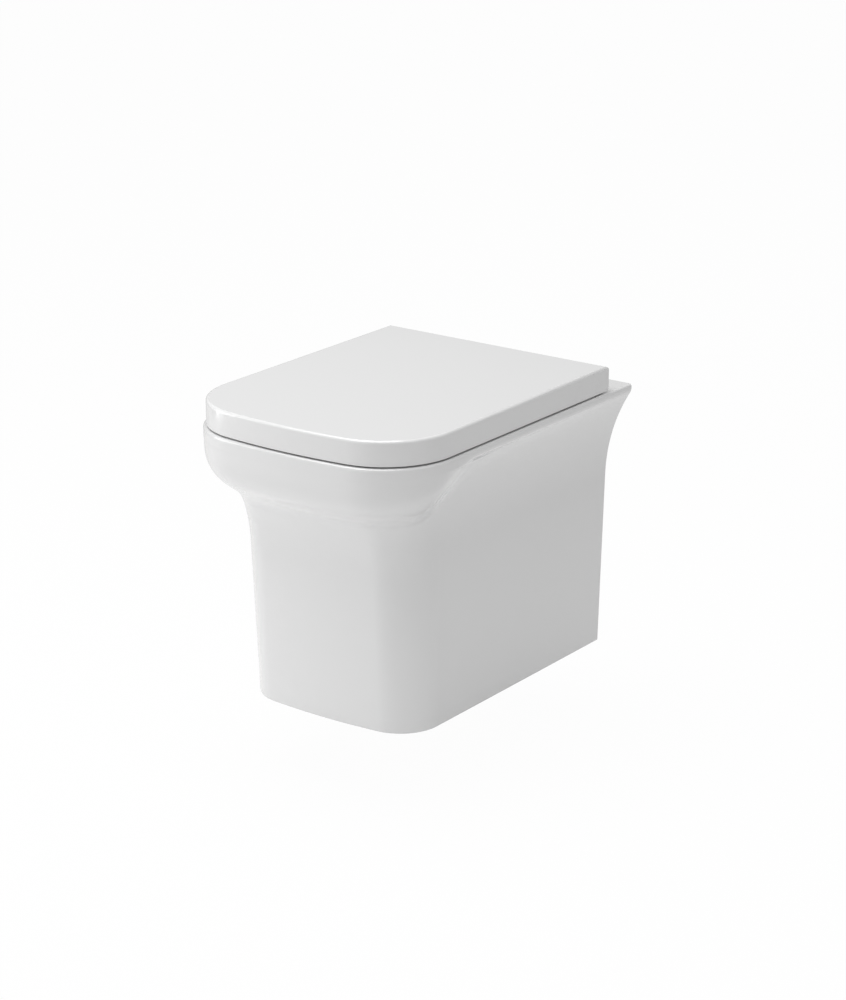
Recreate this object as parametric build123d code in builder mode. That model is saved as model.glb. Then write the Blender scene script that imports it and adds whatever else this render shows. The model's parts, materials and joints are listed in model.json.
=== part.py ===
from build123d import *
from dataclasses import dataclass
from math import asin, atan2, cos, hypot, pi, radians, sin, sqrt, tan
import os

# Millimetres. The origin is midway between the two wall studs, on the wall plane.
# +Z is up, +Y goes into the wall and the pan reaches out along -Y.


@dataclass(frozen=True)
class Outline:
    """Plan outline: straight sides, round front corners and a slightly bowed front."""

    half_width: float
    reach: float
    corner_r: float
    bow_r: float

    def corner_centre(self):
        x = self.half_width - self.corner_r
        y = self.bow_r - self.reach - sqrt((self.bow_r - self.corner_r) ** 2 - x**2)
        return x, y

    def corner_angle(self):
        x, y = self.corner_centre()
        return atan2(y + self.reach - self.bow_r, x)

    def point(self, t):
        """Point of the right half: t is 0 at the wall, 1 to 2 round the corner, 3 at the front."""
        x, y = self.corner_centre()
        angle = self.corner_angle()
        if t <= 1:
            return self.half_width, y * t
        if t <= 2:
            turn = angle * (t - 1)
            return x + self.corner_r * cos(turn), y + self.corner_r * sin(turn)
        turn = angle - (pi / 2 + angle) * (t - 2)
        return self.bow_r * cos(turn), self.bow_r - self.reach + self.bow_r * sin(turn)

    def length(self, t):
        """Length of the right half from the wall to t."""
        side = -self.corner_centre()[1]
        corner = self.corner_r * -self.corner_angle()
        bow = self.bow_r * (pi / 2 + self.corner_angle())
        return side * min(t, 1) + corner * min(max(t - 1, 0), 1) + bow * max(t - 2, 0)

    def inset(self, by):
        return Outline(self.half_width - by, self.reach - by, self.corner_r - by, self.bow_r - by)


def plan_edges(outline, back_y):
    """Edges of an outline with its straight back at back_y."""
    right = [outline.point(t) for t in (1, 1.5, 2)]
    left = [(-x, y) for x, y in reversed(right)]
    with BuildLine() as plan:
        Polyline(left[-1], (-outline.half_width, back_y), (outline.half_width, back_y), right[0])
        ThreePointArc(*right)
        ThreePointArc(right[-1], outline.point(3), left[0])
        ThreePointArc(*left)
    return plan.edges()


# Wall interface of the pan
stud_spacing = 180.0
stud_bore_r = 6.5
inlet_above_studs = 35.0
inlet_socket_r = 27.5
inlet_socket_depth = 60.0
flush_pipe_bore_r = 22.6
waste_below_studs = 100.0
horn_r = 51.0
horn_bore_r = 43.0
horn_recess = 6.0
horn_pocket_r = 67.0
horn_pocket_depth = 46.0

# Pan body
pan_height = 368.0
rim_above_studs = 80.0
rim = Outline(half_width=178.9, reach=503.8, corner_r=99.0, bow_r=820.0)
foot = Outline(half_width=134.3, reach=428.6, corner_r=56.4, bow_r=850.0)
side_draft = 0.0293
side_flare_start = 238.0
side_flare_r = 235.0
front_draft = 0.059
front_flare_start = 206.3
front_flare_r = 182.0
rim_edge_r = 3.5
mouth_edge_r = 8.0
foot_edge_r = 2.5

# Band round the front of the rim, and how it thins to the lip along the sides
band_height = 28.7
band_edge_r = 49.0
band_underside = radians(70)
band_blend = 28.2
lip_height = 5.0
lip_edge_r = 8.0
lip_blend = 2.5
sweep_start = 345.0
sweep_corner_share = 0.4

# China walls
china = 11.0
back_wall = 16.0
deck = 18.0
rim_depth = 50.0
bowl_wall = 9.0

# Bowl and trapway, seen from above and in the middle plane
mouth_land = 38.0
mouth_back = 152.0
mouth_corner = 0.62
sump_half_width = 40.0
sump_front = 306.0
sump_back = 214.0
sump_height = 92.0
trap_bore_r = 30.0
trap_wall = 9.0
trap_bend_r = 42.0
trap_fall_y = 80.0
weir_corner = 46.5
water_seal = 50.0

# Flush water chamber behind the bowl, and the plastic distributor at its mouth
chamber_half_width = 45.0
chamber_height = 52.0
chamber_wall = 9.0
slot_width = 74.0
slot_height = 32.0
slot_below_rim = 42.0
nozzle_length = 34.0
nozzle_wall = 2.5
nose_width = 88.0
nose_height = 42.0
nose_depth = 16.0
nose_wall = 3.0

# Wall fixings
stud_hole_r = 11.0
stud_boss_r = 20.0
stud_boss_depth = 40.0
sleeve_gap = 0.4
sleeve_flange_r = 16.0
sleeve_flange = 1.6
washer_r = 17.0
washer_height = 2.5
nut_flats = 19.0
nut_height = 10.0
seal_length = 44.0
seal_mouth = 2.0

# Seat and lid
lid_outline = Outline(half_width=175.2, reach=500.2, corner_r=95.8, bow_r=816.0)
lid_back = 49.8
lid_lift = 2.2
lid_height = 31.7
lid_top = 5.5
lid_wall = 5.0
lid_edge_r = 4.0
lid_heel_r = 4.0
seat_gap = 2.0
seat_lift = 5.0
seat_height = 20.6
seat_edge_r = 4.0
seat_hole_edge_r = 7.0
seat_hole = Outline(half_width=112.0, reach=436.0, corner_r=88.0, bow_r=500.0)
seat_hole_back = 166.0
seat_hole_back_r = 55.0
seat_back_gap = 20.7
seat_corner_r = 12.0
notch_gap = 2.0
buffer_length = 30.0
buffer_width = 11.0
buffer_edge_r = 1.5
side_buffer_x = 156.0
side_buffer_y = 235.0
front_buffer_x = 42.0
front_buffer_y = 480.3
lid_buffer_r = 6.5
lid_buffer_places = ((60.0, 468.0), (140.0, 200.0))
lid_foot_r = 1.0

# Hinges
hinge_spacing = 155.0
axis_above_rim = 20.0
axis_from_lid_back = 8.5
barrel_r = 7.3
barrel_length = 20.0
eye_r = 7.5
post_width = 18.0
post_neck = 6.0
post_crown = 8.0
post_crown_r = 5.0
post_foot_length = 20.0
bolt_ahead_of_axis = 21.0
peg_r = 6.0
peg_height = 8.0
peg_clearance = 0.1
lug_root = 6.0
hinge_window = (44.0, 112.0)
barrel_floor = 2.2
pin_r = 3.0
pin_end_gap = 0.5
grub_r = 2.5
grub_above_base = 4.0
grub_key = 2.5
bush_collar_r = 7.0
bush_collar = 0.6
barrel_gap = 1.2
damper_r = 5.5
base_r = 22.0
base_height = 3.0
base_edge_r = 1.0
gasket_height = 1.0
gasket_hole_r = 6.0
seat_bolt_r = 4.0
seat_bolt_length = 48.0
deck_hole_r = 8.0
plug_r = 7.6
plug_neck = 14.0
plug_bulge_r = 11.0
plug_bulge = 13.0
plug_nut_r = 9.5
plug_nut_height = 8.0
hex_key = 5.0
hex_key_depth = 4.0

# Clearances
running = 0.05
press = 0.02
thread_gap = 0.05
loose = 0.5
rest_gap = 0.3

# Heights and places that follow from the sizes above
rim_z = rim_above_studs
foot_z = rim_z - pan_height
inlet_z = inlet_above_studs
waste_z = -waste_below_studs
axis_y = -(lid_back + axis_from_lid_back)
axis_z = rim_z + axis_above_rim
lid_z = rim_z + lid_lift
lid_top_z = lid_z + lid_height
seat_z = rim_z + seat_lift
seat_top_z = seat_z + seat_height
deck_z = rim_z - deck
bolt_y = axis_y - bolt_ahead_of_axis
base_z = rim_z + gasket_height
base_top_z = base_z + base_height
ceiling_z = lid_top_z - lid_top
seat_back_y = axis_y - seat_back_gap
hinge_x = hinge_spacing / 2
stud_x = stud_spacing / 2
seat_outline = lid_outline.inset(lid_wall + seat_gap)


def smooth_step(u):
    u = min(max(u, 0.0), 1.0)
    return u * u * (3 - 2 * u)


def smooth_min(a, b, blend):
    """The smaller of two insets, with the crease between them filled over a blend."""
    overlap = max(blend - abs(a - b), 0.0)
    return min(a, b) - (overlap**2 / (4 * blend) if overlap else 0.0)


def flare(height, start, radius, draft):
    """How far a drafted wall has moved out at a height, with a round flare above its start."""
    lean = draft / hypot(1, draft)
    out = draft * min(height, start)
    if height > start:
        slope = min(lean + (height - start) / radius, 0.95)
        out += radius * (sqrt(1 - lean**2) - sqrt(1 - slope**2))
    return out


def band_inset(depth, height, edge_r):
    """Inset of the band at a depth under the rim: upright, then round, then a sloping underside."""
    below = max(depth - height, 0.0)
    drop = edge_r * sin(band_underside)
    if below < drop:
        return edge_r - sqrt(edge_r**2 - below**2)
    return edge_r * (1 - cos(band_underside)) + (below - drop) * tan(band_underside)


def pan_point(height, t):
    """Point of the pan's outer face at a height over its foot, at t round its outline."""
    rim_x, rim_y = rim.point(t)
    foot_x, foot_y = foot.point(t)
    overhang = hypot(rim_x - foot_x, rim_y - foot_y)
    front = smooth_step(t - 1)
    out = (1 - front) * flare(height, side_flare_start, side_flare_r, side_draft)
    out += front * flare(height, front_flare_start, front_flare_r, front_draft)
    body = -smooth_min(out - overhang, 0.0, lip_blend)
    sweep_end = rim.length(1 + sweep_corner_share)
    sweep = smooth_step((rim.length(t) - sweep_start) / (sweep_end - sweep_start))
    band = band_inset(
        pan_height - height,
        lip_height + (band_height - lip_height) * sweep,
        lip_edge_r + (band_edge_r - lip_edge_r) * sweep,
    )
    inset = max(smooth_min(body, band, min(band_blend, body)), 0.0) / overhang
    return rim_x + (foot_x - rim_x) * inset, rim_y + (foot_y - rim_y) * inset


def pan_edges(height):
    """Level section of the pan's outer face: straight sides and back, a spline round the front."""
    start = sweep_start / rim.length(1)
    side_steps = 4
    corner_steps = 12
    bow_steps = 6
    ts = [start + (1 - start) * i / side_steps for i in range(side_steps)]
    ts += [1 + i / corner_steps for i in range(corner_steps)]
    ts += [2 + i / bow_steps for i in range(bow_steps + 1)]
    right = [pan_point(height, t) for t in ts]
    left = [(-x, y) for x, y in reversed(right[:-1])]
    # Long parameters, a tenth of a millimetre apart, keep the mesh of these long faces closed
    half = [10 * rim.length(t) for t in ts]
    whole = half + [2 * half[-1] - u for u in reversed(half[:-1])]
    wall_x = pan_point(height, 0)[0]
    with BuildLine() as section:
        Polyline(left[-1], (-wall_x, 0), (wall_x, 0), right[0])
        add(Edge.make_spline(right + left, parameters=whole))
    return section.edges()


def body_outline(height):
    """Plan outline of the skirt and its flare at a height over the foot, without band or lip."""
    half = foot.half_width + flare(height, side_flare_start, side_flare_r, side_draft)
    reach = foot.reach + flare(height, front_flare_start, front_flare_r, front_draft)
    corner = foot.corner_r + (rim.corner_r - foot.corner_r) * height / pan_height
    return Outline(half, reach, corner, foot.bow_r)


def pan_levels():
    """Heights over the foot of the pan's sections: the skirt is straight up to its flare."""
    steps = 32
    rise = (pan_height - front_flare_start) / steps
    return [0] + [front_flare_start + i * rise for i in range(steps + 1)]


def bowl_levels(wall):
    """Sections of the bowl from the rim to the sump: height, half width, front and back."""
    mouth_half = rim.half_width - mouth_land
    mouth_front = rim.reach - mouth_land
    bottom = foot_z + sump_height - wall
    round_steps = 3
    for i in range(round_steps):
        turn = pi / 2 * i / round_steps
        out = mouth_edge_r * (1 - sin(turn)) + wall
        z = rim_z - mouth_edge_r * (1 - cos(turn))
        yield z, mouth_half + out, mouth_front + out, mouth_back - out
    steps = 8
    top = rim_z - mouth_edge_r
    for i in range(steps + 1):
        share = i / steps
        bend = sin(share * pi / 2)
        narrow = 0.55 * bend**2 + 0.45 * share**2
        yield (
            top + (bottom - top) * bend**1.1,
            mouth_half + (sump_half_width - mouth_half) * narrow + wall,
            mouth_front + (sump_front - mouth_front) * narrow + wall,
            mouth_back + (sump_back - mouth_back) * narrow - wall,
        )


def rod_x(start, end, y, z, radius, mode=Mode.ADD):
    """Round bar or bore along X."""
    with Locations(((start + end) / 2, y, z)):
        Cylinder(radius, abs(end - start), rotation=(0, 90, 0), mode=mode)


def rod_y(start, end, x, z, radius, mode=Mode.ADD):
    """Round bar or bore along Y."""
    with Locations((x, (start + end) / 2, z)):
        Cylinder(radius, abs(end - start), rotation=(90, 0, 0), mode=mode)


def rod_z(start, end, x, y, radius, mode=Mode.ADD):
    """Round bar or bore along Z."""
    with Locations((x, y, (start + end) / 2)):
        Cylinder(radius, abs(end - start), mode=mode)


def block(x_range, y_range, z_range, mode=Mode.ADD):
    """Square block between two corners."""
    sizes = [high - low for low, high in (x_range, y_range, z_range)]
    with Locations(tuple((low + high) / 2 for low, high in (x_range, y_range, z_range))):
        Box(*sizes, mode=mode)


def bowl_size(half, front, back):
    """Width, depth and corner radius of one section of the bowl."""
    depth = front - back
    return 2 * half, depth, mouth_corner * min(half, depth / 2)


with BuildPart() as pan:
    for height in pan_levels():
        with BuildSketch(Plane.XY.offset(foot_z + height)):
            make_face(pan_edges(height))
    loft(ruled=True)
    fillet(pan.faces().sort_by(Axis.Z)[-1].edges().filter_by(lambda e: e.center().Y < -1), rim_edge_r)
    fillet(pan.faces().sort_by(Axis.Z)[0].edges().filter_by(lambda e: e.center().Y < -1), foot_edge_r)

    # Hollow skirt, and the room under the deck behind the bowl
    for height in (-1, front_flare_start, 252, 286, pan_height - rim_depth):
        with BuildSketch(Plane.XY.offset(foot_z + height)):
            make_face(plan_edges(body_outline(height).inset(china), -back_wall))
    loft(ruled=True, mode=Mode.SUBTRACT)
    deck_half = body_outline(pan_height - rim_depth).half_width - china - 6
    block(
        (-deck_half, deck_half),
        (-mouth_back + bowl_wall + 6, -back_wall),
        (rim_z - rim_depth - 1, deck_z),
        Mode.SUBTRACT,
    )

    # Bowl, trapway, water chamber and the bosses of the back wall
    for z, half, front, back in bowl_levels(bowl_wall):
        with BuildSketch(Plane.XY.offset(z)):
            with Locations((0, -(front + back) / 2)):
                RectangleRounded(*bowl_size(half, front, back))
    loft(ruled=True)
    entry_z = foot_z + sump_height + trap_bore_r - 2
    weir_z = entry_z + water_seal + 2 * trap_bore_r
    with BuildLine() as route:
        FilletPolyline(
            (0, -sump_front + 46, entry_z),
            (0, -sump_back + 18, entry_z),
            (0, -sump_back + 66, weir_z + weir_corner),
            (0, -trap_fall_y, waste_z),
            (0, -horn_pocket_depth, waste_z),
            radius=trap_bend_r,
        )
    with BuildSketch(Plane(route.line @ 0, z_dir=route.line % 0)):
        Circle(trap_bore_r + trap_wall)
    sweep(path=route.line)
    rod_y(-horn_pocket_depth - bowl_wall, 0, 0, waste_z, horn_pocket_r + bowl_wall)
    rod_y(-inlet_socket_depth, 0, 0, inlet_z, inlet_socket_r + bowl_wall)
    chamber_z = inlet_z - inlet_socket_r
    block(
        (-chamber_half_width - chamber_wall, chamber_half_width + chamber_wall),
        (-mouth_back + 4, -inlet_socket_depth + chamber_wall),
        (chamber_z - chamber_wall, deck_z + 1),
    )
    for x in (-stud_x, stud_x):
        rod_y(-stud_boss_depth, 0, x, 0, stud_boss_r)

    # Everything that water, waste, pipes and bolts pass through
    for z, half, front, back in bowl_levels(0):
        with BuildSketch(Plane.XY.offset(z)):
            with Locations((0, -(front + back) / 2)):
                RectangleRounded(*bowl_size(half, front, back))
    loft(ruled=True, mode=Mode.SUBTRACT)
    rod_y(-horn_pocket_depth, 0, 0, waste_z, horn_pocket_r, Mode.SUBTRACT)
    rod_y(-horn_pocket_depth, -horn_recess, 0, waste_z, horn_r)
    rod_y(-horn_pocket_depth, -horn_recess, 0, waste_z, horn_bore_r, Mode.SUBTRACT)
    with BuildSketch(Plane(route.line @ 0, z_dir=route.line % 0)):
        Circle(trap_bore_r)
    sweep(path=route.line, mode=Mode.SUBTRACT)
    rod_y(-inlet_socket_depth, 0, 0, inlet_z, inlet_socket_r, Mode.SUBTRACT)
    nose_y = -mouth_back - 2
    block(
        (-chamber_half_width, chamber_half_width),
        (nose_y + 6, -inlet_socket_depth + 1),
        (chamber_z, chamber_z + chamber_height),
        Mode.SUBTRACT,
    )
    slot_z = rim_z - slot_below_rim
    block(
        (-slot_width / 2, slot_width / 2),
        (nose_y - nose_depth, nose_y + 7),
        (slot_z - slot_height / 2, slot_z + slot_height / 2),
        Mode.SUBTRACT,
    )
    block(
        (-nose_width / 2 - 2, nose_width / 2 + 2),
        (nose_y - nose_depth, nose_y),
        (slot_z - nose_height / 2 - 2, slot_z + nose_height / 2 + 2),
        Mode.SUBTRACT,
    )
    for side in (-1, 1):
        rod_y(-stud_boss_depth, 0, side * stud_x, 0, stud_hole_r, Mode.SUBTRACT)
        rod_z(deck_z - 1, rim_z, side * hinge_x, bolt_y, deck_hole_r, Mode.SUBTRACT)

with BuildPart() as flush_distributor:
    nose_face = nose_y - rest_gap
    nozzle_half = slot_width / 2 - loose
    nozzle_rise = slot_height / 2 - loose
    block(
        (-nozzle_half, nozzle_half),
        (nose_face, nose_face + nozzle_length),
        (slot_z - nozzle_rise, slot_z + nozzle_rise),
    )
    block(
        (-nose_width / 2, nose_width / 2),
        (nose_y - nose_depth, nose_face),
        (slot_z - nose_height / 2, slot_z + nose_height / 2),
    )
    fillet(flush_distributor.faces().sort_by(Axis.Y)[0].edges(), nose_wall)
    block(
        (-nozzle_half + nozzle_wall, nozzle_half - nozzle_wall),
        (nose_y - nose_depth + nose_wall, nose_face + nozzle_length),
        (slot_z - nozzle_rise + nozzle_wall, slot_z + nozzle_rise - nozzle_wall),
        Mode.SUBTRACT,
    )
    block(
        (-nose_width / 2, nose_width / 2),
        (nose_y - nose_depth + nose_wall, nose_face - nose_wall),
        (slot_z - nozzle_rise + nozzle_wall, slot_z + nozzle_rise - nozzle_wall),
        Mode.SUBTRACT,
    )

with BuildPart() as inlet_seal:
    rod_y(-seal_length, 0, 0, inlet_z, inlet_socket_r - press)
    rod_y(-seal_length, 0, 0, inlet_z, flush_pipe_bore_r, Mode.SUBTRACT)
    fillet(inlet_seal.faces().sort_by(Axis.Y)[0].edges(), seal_mouth / 2)

with BuildPart() as wall_fixing_sleeves:
    flange_y = -stud_boss_depth - sleeve_flange
    for x in (-stud_x, stud_x):
        rod_y(-stud_boss_depth, 0, x, 0, stud_hole_r - sleeve_gap)
        rod_y(flange_y, -stud_boss_depth - press, x, 0, sleeve_flange_r)
        rod_y(-stud_boss_depth - press, -stud_boss_depth, x, 0, stud_hole_r - sleeve_gap)
        rod_y(flange_y, 0, x, 0, stud_bore_r, Mode.SUBTRACT)

with BuildPart() as wall_fixing_washers:
    washer_y = flange_y - press
    for x in (-stud_x, stud_x):
        rod_y(washer_y - washer_height, washer_y, x, 0, washer_r)
        rod_y(washer_y - washer_height, washer_y, x, 0, stud_bore_r, Mode.SUBTRACT)

with BuildPart() as wall_fixing_nuts:
    nut_y = washer_y - washer_height - press
    with BuildSketch(Plane.XZ.offset(-nut_y)):
        with Locations((-stud_x, 0), (stud_x, 0)):
            RegularPolygon(nut_flats / 2, 6, major_radius=False)
            Circle(stud_bore_r, mode=Mode.SUBTRACT)
    extrude(amount=nut_height)
    chamfer(wall_fixing_nuts.faces().sort_by(Axis.Y)[:2].edges().filter_by(GeomType.LINE), 1.0)

with BuildPart() as seat_fixing_bolts:
    for x in (-hinge_x, hinge_x):
        rod_z(base_top_z, base_top_z + peg_height, x, bolt_y, peg_r)
        rod_z(base_top_z - seat_bolt_length, base_top_z, x, bolt_y, seat_bolt_r)
    chamfer(seat_fixing_bolts.faces().sort_by(Axis.Z)[-2:].edges(), 0.8)
    chamfer(seat_fixing_bolts.faces().sort_by(Axis.Z)[:2].edges(), 0.8)
    with BuildSketch(Plane.XY.offset(base_top_z + peg_height)):
        with Locations((-hinge_x, bolt_y), (hinge_x, bolt_y)):
            RegularPolygon(hex_key / 2, 6, major_radius=False)
    extrude(amount=-hex_key_depth, mode=Mode.SUBTRACT)

with BuildPart() as expanding_plugs:
    for x in (-hinge_x, hinge_x):
        rod_z(deck_z - plug_bulge, deck_z + plug_neck, x, bolt_y, plug_r)
        rod_z(deck_z - plug_bulge, deck_z - press, x, bolt_y, plug_bulge_r)
    fillet(expanding_plugs.edges().filter_by(lambda e: e.bounding_box().size.X > 2 * plug_bulge_r - 1), 3.0)
    for x in (-hinge_x, hinge_x):
        rod_z(deck_z - plug_bulge, deck_z + plug_neck, x, bolt_y, seat_bolt_r + thread_gap, Mode.SUBTRACT)

with BuildPart() as plug_nuts:
    plug_nut_top = deck_z - plug_bulge - press
    with Locations((-hinge_x, bolt_y, plug_nut_top), (hinge_x, bolt_y, plug_nut_top)):
        Cone(
            plug_nut_r,
            plug_r,
            plug_nut_height,
            align=(Align.CENTER, Align.CENTER, Align.MAX),
        )
    for x in (-hinge_x, hinge_x):
        rod_z(
            plug_nut_top - plug_nut_height,
            plug_nut_top,
            x,
            bolt_y,
            seat_bolt_r + thread_gap,
            Mode.SUBTRACT,
        )


def base_gasket(x):
    """Soft washer between the rim and the base plate of one hinge."""
    with BuildPart() as gasket:
        rod_z(rim_z + press, base_z - press, x, bolt_y, base_r - 0.5)
        rod_z(rim_z + press, base_z - press, x, bolt_y, gasket_hole_r, Mode.SUBTRACT)
    return gasket.part


def hinge_base(x):
    """Round metal base plate that the bolt clamps on the rim."""
    with BuildPart() as base:
        rod_z(base_z, base_top_z - press, x, bolt_y, base_r)
        fillet(base.faces().sort_by(Axis.Z)[-1].edges(), base_edge_r)
        rod_z(base_z, base_top_z - press, x, bolt_y, seat_bolt_r + thread_gap, Mode.SUBTRACT)
    return base.part


def hinge_post(x):
    """Cranked post: its foot drops over the peg and its eye holds the hinge pin."""
    front = bolt_y - post_foot_length / 2
    back = bolt_y + post_foot_length / 2
    with BuildPart() as post:
        block(
            (x - post_width / 2, x + post_width / 2),
            (front, back),
            (base_top_z, axis_z + post_crown),
        )
        front_edges = post.faces().sort_by(Axis.Y)[0].edges()
        fillet(front_edges.sort_by(Axis.Z)[-1], post_crown_r)
        block(
            (x - post_width / 2, x + post_width / 2),
            (back, axis_y),
            (axis_z - post_neck, axis_z + eye_r),
        )
        rod_x(x - post_width / 2, x + post_width / 2, axis_y, axis_z, eye_r)
        rod_x(x - post_width / 2, x + post_width / 2, axis_y, axis_z, pin_r + press, Mode.SUBTRACT)
        peg_hole_top = base_top_z + peg_height + loose
        rod_z(base_top_z, peg_hole_top, x, bolt_y, peg_r + peg_clearance, Mode.SUBTRACT)
        grub_z = base_top_z + grub_above_base
        rod_y(front, bolt_y, x, grub_z, grub_r + press, Mode.SUBTRACT)
    return post.part


def hinge_pin(side):
    """Steel pin that the seat and the lid turn on, at the left (-1) or right (1) hinge."""
    inner = hinge_x - post_width / 2 - barrel_gap - barrel_length + barrel_floor + pin_end_gap
    outer = hinge_x + post_width / 2 + barrel_gap + barrel_length - barrel_floor - pin_end_gap
    with BuildPart() as pin:
        rod_x(side * inner, side * outer, axis_y, axis_z, pin_r)
        chamfer(pin.edges(), 0.5)
    return pin.part


def barrel_insert(side, outward):
    """Sleeve in a barrel of the left (-1) or right (1) hinge, outward (1) or inward (-1) of its post."""
    post_face = hinge_x + outward * post_width / 2
    barrel_face = post_face + outward * barrel_gap
    floor = barrel_face + outward * (barrel_length - barrel_floor - pin_end_gap)
    collar = barrel_face - outward * bush_collar
    with BuildPart() as insert:
        rod_x(side * barrel_face, side * floor, axis_y, axis_z, damper_r)
        rod_x(side * collar, side * barrel_face, axis_y, axis_z, bush_collar_r)
        rod_x(side * collar, side * floor, axis_y, axis_z, pin_r + running, Mode.SUBTRACT)
    return insert.part


with BuildPart() as grub_screws:
    for x in (-hinge_x, hinge_x):
        rod_y(
            bolt_y - post_foot_length / 2 + loose,
            bolt_y - peg_r - press,
            x,
            base_top_z + grub_above_base,
            grub_r,
        )
    with BuildSketch(Plane.XZ.offset(post_foot_length / 2 - loose - bolt_y)):
        with Locations(
            (-hinge_x, base_top_z + grub_above_base),
            (hinge_x, base_top_z + grub_above_base),
        ):
            RegularPolygon(grub_key / 2, 6, major_radius=False)
    extrude(amount=-1.5, mode=Mode.SUBTRACT)

with BuildPart() as seat_ring:
    with BuildSketch(Plane.XY.offset(seat_z)) as ring:
        make_face(plan_edges(seat_outline, seat_back_y))
        fillet(ring.vertices().group_by(Axis.Y)[-1], seat_corner_r)
        with BuildSketch(mode=Mode.SUBTRACT) as hole:
            make_face(plan_edges(seat_hole, -seat_hole_back))
            fillet(hole.vertices().group_by(Axis.Y)[-1], seat_hole_back_r)
    extrude(amount=seat_height)
    top = seat_ring.faces().sort_by(Axis.Z)[-1]
    fillet(top.outer_wire().edges(), seat_edge_r)
    top = seat_ring.faces().sort_by(Axis.Z)[-1]
    fillet(top.inner_wires()[0].edges(), seat_hole_edge_r)
    under = seat_ring.faces().sort_by(Axis.Z)[0]
    fillet(under.edges(), seat_edge_r)
    notch = post_width / 2 + notch_gap
    notch_y = bolt_y - post_foot_length / 2 - notch_gap
    lug_start = hinge_x + post_width / 2 + barrel_gap
    for side in (-1, 1):
        x = side * hinge_x
        block((x - notch, x + notch), (notch_y, seat_back_y), (seat_z, seat_top_z), Mode.SUBTRACT)
        lug_x = sorted((side * lug_start, side * (lug_start + barrel_length)))
        block(lug_x, (seat_back_y - lug_root, axis_y), (axis_z - barrel_r, seat_top_z))
        rod_x(*lug_x, axis_y, axis_z, barrel_r)
        bore_end = side * (lug_start + barrel_length - barrel_floor)
        rod_x(side * lug_start, bore_end, axis_y, axis_z, damper_r + press, Mode.SUBTRACT)

with BuildPart() as seat_buffers_rear:
    for x in (-side_buffer_x, side_buffer_x):
        block(
            (x - buffer_width / 2, x + buffer_width / 2),
            (-side_buffer_y - buffer_length / 2, -side_buffer_y + buffer_length / 2),
            (rim_z + rest_gap, seat_z - press),
        )
    fillet(seat_buffers_rear.faces().sort_by(Axis.Z)[:2].edges(), buffer_edge_r)

with BuildPart() as seat_buffers_front:
    for x in (-front_buffer_x, front_buffer_x):
        block(
            (x - buffer_length / 2, x + buffer_length / 2),
            (-front_buffer_y - buffer_width / 2, -front_buffer_y + buffer_width / 2),
            (rim_z + rest_gap, seat_z - press),
        )
    fillet(seat_buffers_front.faces().sort_by(Axis.Z)[:2].edges(), buffer_edge_r)

with BuildPart() as lid:
    with BuildSketch(Plane.XY.offset(lid_z)):
        make_face(plan_edges(lid_outline, -lid_back))
    extrude(amount=lid_height)
    fillet(lid.faces().sort_by(Axis.Z)[-1].edges(), lid_edge_r)
    under = lid.faces().sort_by(Axis.Z)[0].edges().sort_by(Axis.Y)
    fillet(under[-1], lid_heel_r)
    with BuildSketch(Plane.XY.offset(lid_z)):
        make_face(plan_edges(lid_outline.inset(lid_wall), -lid_back - lid_wall))
    extrude(amount=ceiling_z - lid_z, mode=Mode.SUBTRACT)
    barrel_end = hinge_x - post_width / 2 - barrel_gap
    for side in (-1, 1):
        window = sorted(side * x for x in hinge_window)
        block(window, (-lid_back - lid_wall, -lid_back), (lid_z, ceiling_z), Mode.SUBTRACT)
        lug_x = sorted((side * barrel_end, side * (barrel_end - barrel_length)))
        block(lug_x, (axis_y - barrel_r, axis_y + barrel_r), (axis_z, ceiling_z))
        rod_x(*lug_x, axis_y, axis_z, barrel_r)
        bore_end = side * (barrel_end - barrel_length + barrel_floor)
        rod_x(side * barrel_end, bore_end, axis_y, axis_z, damper_r + press, Mode.SUBTRACT)

with BuildPart() as lid_buffers:
    for x, y in lid_buffer_places:
        for side in (-1, 1):
            rod_z(seat_top_z + rest_gap, ceiling_z - press, side * x, -y, lid_buffer_r)

pieces = {
    "pan": pan.part,
    "flush_distributor": flush_distributor.part,
    "inlet_seal": inlet_seal.part,
    "wall_fixing_sleeves": wall_fixing_sleeves.part,
    "wall_fixing_washers": wall_fixing_washers.part,
    "wall_fixing_nuts": wall_fixing_nuts.part,
    "seat_fixing_bolts": seat_fixing_bolts.part,
    "expanding_plugs": expanding_plugs.part,
    "plug_nuts": plug_nuts.part,
    "base_gasket_left": base_gasket(-hinge_x),
    "base_gasket_right": base_gasket(hinge_x),
    "hinge_base_left": hinge_base(-hinge_x),
    "hinge_base_right": hinge_base(hinge_x),
    "hinge_post_left": hinge_post(-hinge_x),
    "hinge_post_right": hinge_post(hinge_x),
    "hinge_pin_left": hinge_pin(-1),
    "hinge_pin_right": hinge_pin(1),
    "grub_screws": grub_screws.part,
    "seat_ring": seat_ring.part,
    "seat_buffers_rear": seat_buffers_rear.part,
    "seat_buffers_front": seat_buffers_front.part,
    "seat_damper": barrel_insert(-1, 1),
    "seat_bush": barrel_insert(1, 1),
    "lid": lid.part,
    "lid_buffers": lid_buffers.part,
    "lid_damper": barrel_insert(1, -1),
    "lid_bush": barrel_insert(-1, -1),
}
os.makedirs("parts", exist_ok=True)
for name, piece in pieces.items():
    piece.label = name
    export_step(piece, f"parts/{name}.step")
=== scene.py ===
import json
import logging
import math
from dataclasses import dataclass, field
from enum import Enum
from typing import Sequence

import bmesh
import bpy
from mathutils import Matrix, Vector
from mathutils.bvhtree import BVHTree


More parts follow.
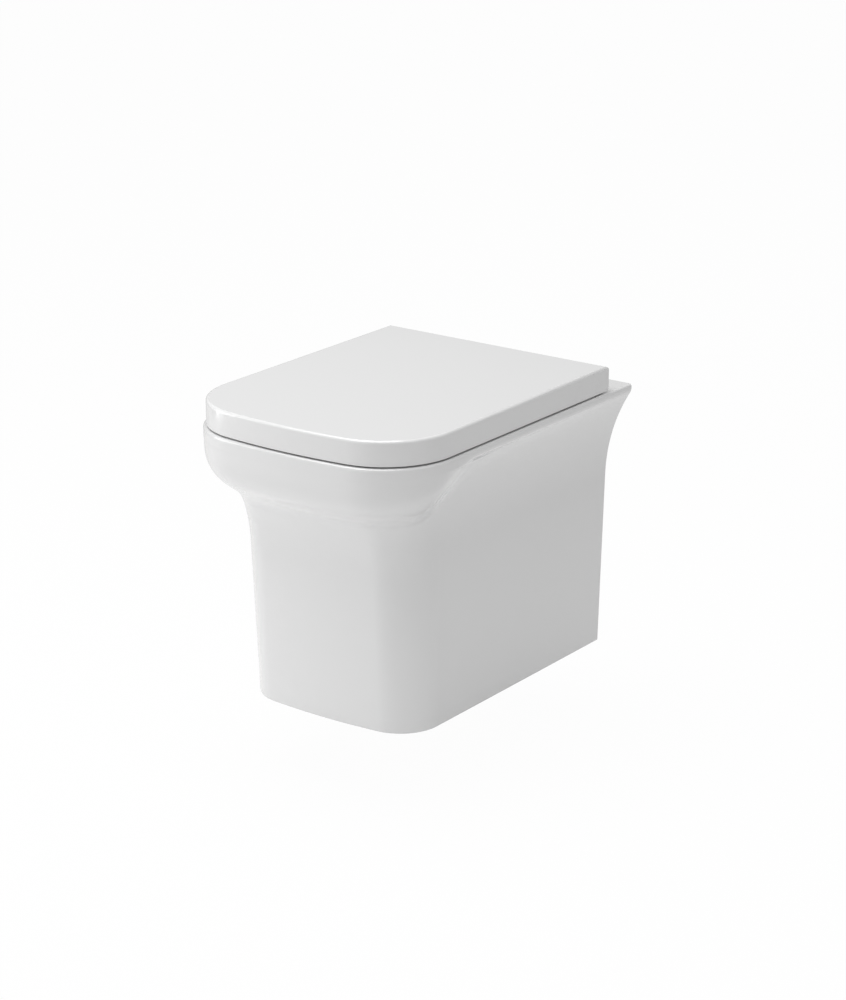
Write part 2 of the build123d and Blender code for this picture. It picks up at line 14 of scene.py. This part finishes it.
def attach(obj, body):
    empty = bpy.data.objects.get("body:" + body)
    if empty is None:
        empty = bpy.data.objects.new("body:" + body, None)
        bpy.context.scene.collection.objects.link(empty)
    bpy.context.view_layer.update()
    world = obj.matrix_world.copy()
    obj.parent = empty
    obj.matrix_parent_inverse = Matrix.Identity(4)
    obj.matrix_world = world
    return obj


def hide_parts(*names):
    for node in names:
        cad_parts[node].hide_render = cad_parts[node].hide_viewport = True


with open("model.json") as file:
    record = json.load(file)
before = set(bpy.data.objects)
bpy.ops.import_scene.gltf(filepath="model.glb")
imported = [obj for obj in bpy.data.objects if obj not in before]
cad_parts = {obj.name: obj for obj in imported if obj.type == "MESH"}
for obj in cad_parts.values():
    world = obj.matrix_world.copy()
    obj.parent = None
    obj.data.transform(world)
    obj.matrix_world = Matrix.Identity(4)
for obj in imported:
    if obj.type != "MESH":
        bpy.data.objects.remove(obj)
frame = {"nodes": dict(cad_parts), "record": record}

log = logging.getLogger("wall_hung_toilet")
MM = 0.001
Point2 = tuple[float, float]
SQUARE = 0.999999
JOIN_GAP = 0.00001
SCALE = 0.92
RIM_TOP = 80.0
PAN_HEIGHT = 368.0


class Slot(Enum):
    """Material slots of the record."""

    CHINA = "white_china"
    DUROPLAST = "white_duroplast"
    PLASTIC = "white_polypropylene"
    NYLON = "grey_nylon"
    BLACK_RUBBER = "black_rubber"
    GREY_RUBBER = "grey_rubber"
    STAINLESS = "stainless_steel"
    CASTING = "satin_zinc_casting"
    ZINC_STEEL = "zinc_steel"


@dataclass(frozen=True)
class Finish:
    """Procedural look of one material slot, with its noise in object coordinates.

    Attributes:
        colour: Linear base colour.
        roughness: Mean roughness of the surface.
        unevenness: How far the roughness wanders either way.
        metallic: 1 for bare metal.
        coat: Weight of a clear glaze or lacquer.
        coat_roughness: Roughness of that glaze or lacquer.
        grain: Size of the noise, in cycles per metre.
        relief: Depth of the surface's bumps, in metres.
        detail: How many finer layers the noise has.
    """

    colour: tuple[float, float, float]
    roughness: float
    unevenness: float = 0.02
    metallic: float = 0.0
    coat: float = 0.0
    coat_roughness: float = 0.02
    grain: float = 40.0
    relief: float = 0.0
    detail: float = 3.0

    def material(self, name: str) -> bpy.types.Material:
        """Builds the node tree.

        Args:
            name: Name of the material slot.

        Returns:
            The new material.
        """
        material = bpy.data.materials.new(name)
        material.use_nodes = True
        nodes, links = material.node_tree.nodes, material.node_tree.links
        shader = nodes["Principled BSDF"]
        shader.inputs["Base Color"].default_value = (*self.colour, 1.0)
        shader.inputs["Metallic"].default_value = self.metallic
        shader.inputs["Coat Weight"].default_value = self.coat
        shader.inputs["Coat Roughness"].default_value = self.coat_roughness
        place = nodes.new("ShaderNodeTexCoord")
        noise = nodes.new("ShaderNodeTexNoise")
        noise.inputs["Scale"].default_value = self.grain
        noise.inputs["Detail"].default_value = self.detail
        links.new(place.outputs["Object"], noise.inputs["Vector"])
        spread = nodes.new("ShaderNodeMapRange")
        spread.inputs["To Min"].default_value = max(self.roughness - self.unevenness, 0.0)
        spread.inputs["To Max"].default_value = self.roughness + self.unevenness
        links.new(noise.outputs["Fac"], spread.inputs["Value"])
        links.new(spread.outputs["Result"], shader.inputs["Roughness"])
        if self.relief:
            bump = nodes.new("ShaderNodeBump")
            bump.inputs["Distance"].default_value = self.relief
            links.new(noise.outputs["Fac"], bump.inputs["Height"])
            links.new(bump.outputs["Normal"], shader.inputs["Normal"])
        return material


FINISHES: dict[Slot, Finish] = {
    Slot.CHINA: Finish((0.86, 0.86, 0.86), 0.14, coat=1.0, coat_roughness=0.02, grain=9.0),
    Slot.DUROPLAST: Finish((0.86, 0.86, 0.86), 0.18, coat=0.8, coat_roughness=0.03, grain=12.0),
    Slot.PLASTIC: Finish((0.72, 0.73, 0.72), 0.45, grain=400.0, relief=0.00002),
    Slot.NYLON: Finish((0.12, 0.125, 0.13), 0.5, grain=600.0, relief=0.00002),
    Slot.BLACK_RUBBER: Finish((0.02, 0.02, 0.02), 0.7, grain=700.0, relief=0.00003),
    Slot.GREY_RUBBER: Finish((0.30, 0.30, 0.30), 0.65, grain=700.0, relief=0.00003),
    Slot.STAINLESS: Finish((0.62, 0.61, 0.60), 0.28, 0.08, metallic=1.0, grain=900.0),
    Slot.CASTING: Finish((0.66, 0.66, 0.68), 0.24, 0.05, metallic=1.0, grain=300.0),
    Slot.ZINC_STEEL: Finish((0.55, 0.57, 0.60), 0.42, 0.1, metallic=1.0, grain=500.0),
}


def smooth_step(u: float) -> float:
    """Smooth rise from 0 to 1 while u goes from 0 to 1."""
    u = min(max(u, 0.0), 1.0)
    return u * u * (3 - 2 * u)


def smooth_min(a: float, b: float, blend: float) -> float:
    """The smaller of two insets, with the crease between them filled over a blend."""
    overlap = max(blend - abs(a - b), 0.0)
    return min(a, b) - (overlap**2 / (4 * blend) if overlap else 0.0)


@dataclass(frozen=True)
class Outline:
    """Plan outline in mm: straight sides, round front corners and a slightly bowed front."""

    half_width: float
    reach: float
    corner_r: float
    bow_r: float

    def corner_centre(self) -> Point2:
        """Centre of the right front corner's arc."""
        x = self.half_width - self.corner_r
        y = self.bow_r - self.reach - math.sqrt((self.bow_r - self.corner_r) ** 2 - x**2)
        return x, y

    def corner_angle(self) -> float:
        """Angle at which the corner's arc meets the bow."""
        x, y = self.corner_centre()
        return math.atan2(y + self.reach - self.bow_r, x)

    def point(self, t: float) -> Point2:
        """Point of the right half.

        Args:
            t: 0 at the wall, 1 to 2 round the corner, 3 at the front.

        Returns:
            The point's x and y in mm.
        """
        x, y = self.corner_centre()
        angle = self.corner_angle()
        if t <= 1:
            return self.half_width, y * t
        if t <= 2:
            turn = angle * (t - 1)
            return x + self.corner_r * math.cos(turn), y + self.corner_r * math.sin(turn)
        turn = angle - (math.pi / 2 + angle) * (t - 2)
        return self.bow_r * math.cos(turn), self.bow_r - self.reach + self.bow_r * math.sin(turn)

    def length(self, t: float) -> float:
        """Length of the right half from the wall to t, in mm."""
        side = -self.corner_centre()[1]
        corner = self.corner_r * -self.corner_angle()
        bow = self.bow_r * (math.pi / 2 + self.corner_angle())
        return side * min(t, 1) + corner * min(max(t - 1, 0), 1) + bow * max(t - 2, 0)


def grid_mesh(rows: Sequence[Sequence[Vector]]) -> bmesh.types.BMesh:
    """Makes a sheet of quads through rows of points.

    Args:
        rows: Equally long rows of points.

    Returns:
        The sheet.
    """
    across, up = len(rows[0]) - 1, len(rows) - 1
    sheet = bmesh.new()
    bmesh.ops.create_grid(sheet, x_segments=across, y_segments=up, size=1.0)
    for vert in sheet.verts:
        column = round((vert.co.x + 1) / 2 * across)
        row = round((vert.co.y + 1) / 2 * up)
        vert.co = rows[row][column]
    sheet.normal_update()
    return sheet


def new_object(name: str, shape: bmesh.types.BMesh, slot: Slot, sharp: float = 35.0) -> bpy.types.Object:
    """Turns a bmesh into an object with one material.

    Args:
        name: Name of the object.
        shape: Its faces in the row frame, in metres. It's freed here.
        slot: Material slot that it takes its finish from.
        sharp: Edges that turn by more than this many degrees stay sharp.

    Returns:
        The new object.
    """
    mesh = bpy.data.meshes.new(name)
    shape.to_mesh(mesh)
    shape.free()
    mesh.shade_smooth()
    mesh.set_sharp_from_angle(angle=math.radians(sharp))
    for face in mesh.polygons:
        if max(abs(part) for part in face.normal) > SQUARE:
            face.use_smooth = False
    mesh.materials.append(MATERIALS[slot])
    piece = bpy.data.objects.new(name, mesh)
    bpy.context.scene.collection.objects.link(piece)
    return piece


def merged_copy(node: str) -> bmesh.types.BMesh:
    """Copies a CAD node's mesh and joins the vertices that its faces share."""
    copy = bmesh.new()
    copy.from_mesh(frame["nodes"][node].data)
    bmesh.ops.remove_doubles(copy, verts=copy.verts, dist=JOIN_GAP)
    copy.normal_update()
    return copy


def dress(piece: bpy.types.Object, body: str, node: str) -> None:
    """Lets a new piece ride on a body in place of a CAD node."""
    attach(piece, body)
    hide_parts(node)


@dataclass
class PanShell:
    """China pan: the outer face is a fine sheet, and all the rest is the CAD pan's own mesh.

    Sizes are in mm, and heights count from the foot.
    """

    rim_z: float = RIM_TOP
    height: float = PAN_HEIGHT
    rim: Outline = field(default_factory=lambda: Outline(178.9, 503.8, 99.0, 820.0))
    foot: Outline = field(default_factory=lambda: Outline(134.3, 428.6, 56.4, 850.0))
    side_draft: float = 0.0293
    side_flare_start: float = 238.0
    side_flare_r: float = 235.0
    front_draft: float = 0.059
    front_flare_start: float = 206.3
    front_flare_r: float = 182.0
    rim_edge_r: float = 3.5
    foot_edge_r: float = 2.5
    band_height: float = 28.7
    band_edge_r: float = 49.0
    band_underside: float = math.radians(70)
    band_blend: float = 28.2
    lip_height: float = 5.0
    lip_edge_r: float = 8.0
    lip_blend: float = 2.5
    sweep_start: float = 345.0
    sweep_corner_share: float = 0.4
    tuck: float = 3.0
    sink: float = 0.02
    cover: float = 7.0
    cover_facing: float = 0.5
    plane_gap: float = 0.05
    side_steps: int = 6
    sweep_steps: int = 10
    corner_steps: int = 44
    bow_steps: int = 18
    foot_edge_steps: int = 5
    skirt_steps: int = 12
    flare_steps: int = 90
    rim_edge_steps: int = 6
    smooth_rounds: int = 45
    smooth_share: float = 0.5
    smooth_reach: float = 90.0
    smooth_heights: Point2 = (250.0, 353.0)

    def flare(self, height: float, start: float, radius: float, draft: float) -> float:
        """How far a drafted wall has moved out at a height, with a round flare above its start."""
        lean = draft / math.hypot(1, draft)
        out = draft * min(height, start)
        if height > start:
            slope = min(lean + (height - start) / radius, 0.95)
            out += radius * (math.sqrt(1 - lean**2) - math.sqrt(1 - slope**2))
        return out

    def band_inset(self, depth: float, height: float, edge_r: float) -> float:
        """Inset of the band at a depth under the rim."""
        below = max(depth - height, 0.0)
        drop = edge_r * math.sin(self.band_underside)
        if below < drop:
            return edge_r - math.sqrt(edge_r**2 - below**2)
        return edge_r * (1 - math.cos(self.band_underside)) + (below - drop) * math.tan(self.band_underside)

    def free_point(self, height: float, t: float) -> Point2:
        """Point of the outer face without the rounds of its top and bottom edges."""
        rim_x, rim_y = self.rim.point(t)
        foot_x, foot_y = self.foot.point(t)
        overhang = math.hypot(rim_x - foot_x, rim_y - foot_y)
        front = smooth_step(t - 1)
        side = self.flare(height, self.side_flare_start, self.side_flare_r, self.side_draft)
        nose = self.flare(height, self.front_flare_start, self.front_flare_r, self.front_draft)
        out = (1 - front) * side + front * nose
        body = -smooth_min(out - overhang, 0.0, self.lip_blend)
        sweep_end = self.rim.length(1 + self.sweep_corner_share)
        sweep = smooth_step((self.rim.length(t) - self.sweep_start) / (sweep_end - self.sweep_start))
        band = self.band_inset(
            self.height - height,
            self.lip_height + (self.band_height - self.lip_height) * sweep,
            self.lip_edge_r + (self.band_edge_r - self.lip_edge_r) * sweep,
        )
        inset = max(smooth_min(body, band, min(self.band_blend, body)), 0.0) / overhang
        return rim_x + (foot_x - rim_x) * inset, rim_y + (foot_y - rim_y) * inset

    def side_point(self, height: float, t: float) -> Point2:
        """Point of the outer face, with sides that run straight to the wall."""
        start = self.sweep_start / self.rim.length(1)
        if t >= start:
            return self.free_point(height, t)
        near, far = self.free_point(height, 0.0), self.free_point(height, start)
        share = t / start
        return near[0] + (far[0] - near[0]) * share, near[1] + (far[1] - near[1]) * share

    def row(self, height: float, inset: float, steps: Sequence[float]) -> list[Vector]:
        """Points round the whole outer face at one height, moved in by an inset."""
        right = [self.side_point(height, t) for t in steps]
        moved = []
        for i, (x, y) in enumerate(right):
            before, after = right[max(i - 1, 0)], right[min(i + 1, len(right) - 1)]
            run_x, run_y = after[0] - before[0], after[1] - before[1]
            if i == 0:
                run_x, run_y = 0.0, -1.0
            if i == len(right) - 1:
                run_x, run_y = -1.0, 0.0
            run = math.hypot(run_x, run_y)
            moved.append((x + inset * run_y / run, y - inset * run_x / run))
        z = (self.rim_z - self.height + height) * MM
        half = [Vector((x * MM, y * MM, z)) for x, y in moved]
        return [Vector((-p.x, p.y, p.z)) for p in half] + half[-2::-1]

    def plan_steps(self) -> list[float]:
        """Places along the right half of the plan: side, start of the sweep, corner and front."""
        start = self.sweep_start / self.rim.length(1)
        steps = [start * i / self.side_steps for i in range(self.side_steps)]
        steps += [start + (1 - start) * i / self.sweep_steps for i in range(self.sweep_steps)]
        steps += [1 + i / self.corner_steps for i in range(self.corner_steps)]
        steps += [2 + i / self.bow_steps for i in range(self.bow_steps + 1)]
        return steps

    def rows(self) -> list[list[Vector]]:
        """Rows of the outer face from the foot to the rim, with both edge rounds and tucked ends."""
        steps = self.plan_steps()
        rows = [self.row(self.sink, self.foot_edge_r + self.tuck, steps)]
        for i in range(self.foot_edge_steps):
            turn = math.pi / 2 * i / self.foot_edge_steps
            height = self.foot_edge_r * (1 - math.cos(turn))
            rows.append(self.row(height, self.foot_edge_r * (1 - math.sin(turn)), steps))
        top = self.height - self.rim_edge_r
        skirt = self.front_flare_start - self.foot_edge_r
        flare = top - self.front_flare_start
        levels = [self.foot_edge_r + skirt * i / self.skirt_steps for i in range(self.skirt_steps)]
        levels += [self.front_flare_start + flare * i / self.flare_steps for i in range(self.flare_steps + 1)]
        rows += [self.row(height, 0.0, steps) for height in levels]
        for i in range(1, self.rim_edge_steps + 1):
            turn = math.pi / 2 * i / self.rim_edge_steps
            height = top + self.rim_edge_r * math.sin(turn)
            rows.append(self.row(height, self.rim_edge_r * (1 - math.cos(turn)), steps))
        rows.append(self.row(self.height - self.sink, self.rim_edge_r + self.tuck, steps))
        return rows

    def sheet(self) -> bmesh.types.BMesh:
        """Makes the fine outer sheet, with the crease under the band smoothed out."""
        sheet = grid_mesh(self.rows())
        low, high = ((self.rim_z - self.height + height) * MM for height in self.smooth_heights)
        creased = [v for v in sheet.verts if low < v.co.z < high and v.co.y < -self.smooth_reach * MM]
        for _ in range(self.smooth_rounds):
            bmesh.ops.smooth_vert(
                sheet,
                verts=creased,
                factor=self.smooth_share,
                use_axis_x=True,
                use_axis_y=True,
                use_axis_z=True,
            )
        sheet.normal_update()
        return sheet

    def build(self) -> bpy.types.Object:
        """Joins the fine outer sheet to the CAD pan without its own outer face."""
        sheet = self.sheet()
        tree = BVHTree.FromBMesh(sheet)
        body = merged_copy("pan")
        flat = self.plane_gap * MM
        planes = ((2, self.rim_z * MM), (2, (self.rim_z - self.height) * MM), (1, 0.0))
        covered = []
        for face in body.faces:
            if any(all(abs(v.co[axis] - at) < flat for v in face.verts) for axis, at in planes):
                continue
            centre = face.calc_center_median()
            spot, normal, _, gap = tree.find_nearest(centre)
            if spot is not None and gap < self.cover * MM and normal.dot(face.normal) > self.cover_facing:
                covered.append(face)
        log.info("pan: %d of %d CAD faces are covered by the fine sheet", len(covered), len(body.faces))
        bmesh.ops.delete(body, geom=covered, context="FACES")
        spare = bpy.data.meshes.new("sheet")
        sheet.to_mesh(spare)
        sheet.free()
        body.from_mesh(spare)
        bpy.data.meshes.remove(spare)
        return new_object("pan_china", body, Slot.CHINA)

    def place(self) -> None:
        """Builds the pan and puts it in place of the CAD pan."""
        dress(self.build(), "pan", "pan")


@dataclass
class SmoothedParts:
    """CAD pieces that are shown as they are, with smooth curves and crisp edges."""

    copies: dict[str, tuple[str, Slot]]

    def place(self) -> None:
        """Makes a merged copy of each node and puts it in the node's place."""
        for node, (body, slot) in self.copies.items():
            dress(new_object(f"{node}_form", merged_copy(node), slot), body, node)


@dataclass(frozen=True)
class Lamp:
    """A rectangular soft lamp: its place and size in metres, and its power in watts."""

    name: str
    spot: tuple[float, float, float]
    size: Point2
    power: float


LAMPS: tuple[Lamp, ...] = (
    Lamp("top_soft", (-0.3, -0.6, 2.2), (1.8, 1.8), 38.5),
    Lamp("left_soft", (-2.2, -1.6, 0.5), (1.2, 1.8), 15.7),
    Lamp("front_soft", (0.0, -3.0, 0.3), (1.5, 1.5), 2.3),
)


@dataclass
class Studio:
    """Camera, pale floor, backdrop and soft lamps."""

    azimuth: float = math.radians(36.17)
    elevation: float = math.radians(18.58)
    distance: float = 4035 * SCALE * MM
    aim: tuple[float, float, float] = (0.0, -250 * SCALE * MM, (220 * SCALE + RIM_TOP - PAN_HEIGHT) * MM)
    shift_right: float = 9.9 * SCALE * MM
    shift_up: float = 34.0 * SCALE * MM
    sight: float = 50.0
    lit_spot: tuple[float, float, float] = (0.0, -0.25, -0.08)
    floor_half: float = 6.0
    floor_grey: float = 0.9
    floor_roughness: float = 0.9
    floor_white: float = 0.97
    lens: float = 103.5
    floor_drop: float = 0.10
    surround: float = 0.43

    def camera(self) -> None:
        """Sets the camera of the photograph."""
        a, e = self.azimuth, self.elevation
        back = Vector((math.sin(a) * math.cos(e), -math.cos(a) * math.cos(e), math.sin(e)))
        right = Vector((math.cos(a), math.sin(a), 0.0))
        up = Vector((-math.sin(a) * math.sin(e), math.cos(a) * math.sin(e), math.cos(e)))
        data = bpy.data.cameras.new("camera")
        data.lens = self.lens
        data.clip_end = self.sight
        eye = bpy.data.objects.new("camera", data)
        eye.location = Vector(self.aim) + back * self.distance + right * self.shift_right + up * self.shift_up
        eye.rotation_mode = "QUATERNION"
        eye.rotation_quaternion = (-back).to_track_quat("-Z", "Y")
        bpy.context.scene.collection.objects.link(eye)
        bpy.context.scene.camera = eye

    def lamp(self, lamp: Lamp) -> None:
        """Adds a rectangular soft lamp that faces the middle of the pan."""
        data = bpy.data.lights.new(lamp.name, "AREA")
        data.shape = "RECTANGLE"
        data.size, data.size_y = lamp.size
        data.energy = lamp.power
        shade = bpy.data.objects.new(lamp.name, data)
        shade.location = lamp.spot
        shade.rotation_mode = "QUATERNION"
        way = Vector(self.lit_spot) - Vector(lamp.spot)
        shade.rotation_quaternion = way.to_track_quat("-Z", "Y")
        bpy.context.scene.collection.objects.link(shade)

    def world(self) -> None:
        """Even pale surroundings, pure white where the camera sees them directly."""
        world = bpy.data.worlds.new("studio")
        world.use_nodes = True
        nodes, links = world.node_tree.nodes, world.node_tree.links
        glow = nodes["Background"]
        glow.inputs["Color"].default_value = (1.0, 1.0, 1.0, 1.0)
        rays = nodes.new("ShaderNodeLightPath")
        level = nodes.new("ShaderNodeMapRange")
        level.inputs["To Min"].default_value = self.surround
        level.inputs["To Max"].default_value = 1.0
        links.new(rays.outputs["Is Camera Ray"], level.inputs["Value"])
        links.new(level.outputs["Result"], glow.inputs["Strength"])
        bpy.context.scene.world = world

    def floor(self) -> None:
        """Pale floor that stays white to the camera and keeps a faint shadow."""
        sheet = bmesh.new()
        bmesh.ops.create_grid(sheet, x_segments=1, y_segments=1, size=self.floor_half)
        mesh = bpy.data.meshes.new("floor")
        sheet.to_mesh(mesh)
        sheet.free()
        material = bpy.data.materials.new("floor")
        material.use_nodes = True
        nodes, links = material.node_tree.nodes, material.node_tree.links
        shader = nodes["Principled BSDF"]
        shader.inputs["Base Color"].default_value = (*[self.floor_grey] * 3, 1.0)
        shader.inputs["Roughness"].default_value = self.floor_roughness
        glow = nodes.new("ShaderNodeEmission")
        rays = nodes.new("ShaderNodeLightPath")
        share = nodes.new("ShaderNodeMath")
        share.operation = "MULTIPLY"
        share.inputs[1].default_value = self.floor_white
        blend = nodes.new("ShaderNodeMixShader")
        links.new(rays.outputs["Is Camera Ray"], share.inputs[0])
        links.new(share.outputs["Value"], blend.inputs["Fac"])
        links.new(shader.outputs["BSDF"], blend.inputs[1])
        links.new(glow.outputs["Emission"], blend.inputs[2])
        links.new(blend.outputs["Shader"], nodes["Material Output"].inputs["Surface"])
        mesh.materials.append(material)
        floor = bpy.data.objects.new("floor", mesh)
        floor.location = (0.0, 0.0, (RIM_TOP - PAN_HEIGHT) * MM - self.floor_drop)
        bpy.context.scene.collection.objects.link(floor)

    def build(self) -> None:
        """Sets up everything round the object."""
        self.camera()
        self.world()
        self.floor()
        for lamp in LAMPS:
            self.lamp(lamp)
        view = bpy.context.scene.view_settings
        view.view_transform = "Standard"


MATERIALS: dict[Slot, bpy.types.Material] = {
    slot: finish.material(slot.value) for slot, finish in FINISHES.items()
}

NODE_SLOTS: dict[str, Slot] = {
    entry["node"]: Slot(entry["material_slot"]) for entry in frame["record"]["subparts"]
}


def dress_nodes() -> None:
    """Gives every CAD node the material of its slot."""
    for node, shape in frame["nodes"].items():
        shape.data.materials.clear()
        shape.data.materials.append(MATERIALS[NODE_SLOTS[node]])


def main() -> None:
    """Builds the pieces, then the studio."""
    logging.basicConfig(level=logging.INFO)
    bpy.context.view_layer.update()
    dress_nodes()
    PanShell().place()
    SmoothedParts(
        {
            "lid": ("lid", Slot.DUROPLAST),
            "seat_ring": ("seat", Slot.DUROPLAST),
        }
    ).place()
    Studio().build()


if __name__ == "__main__":
    main()
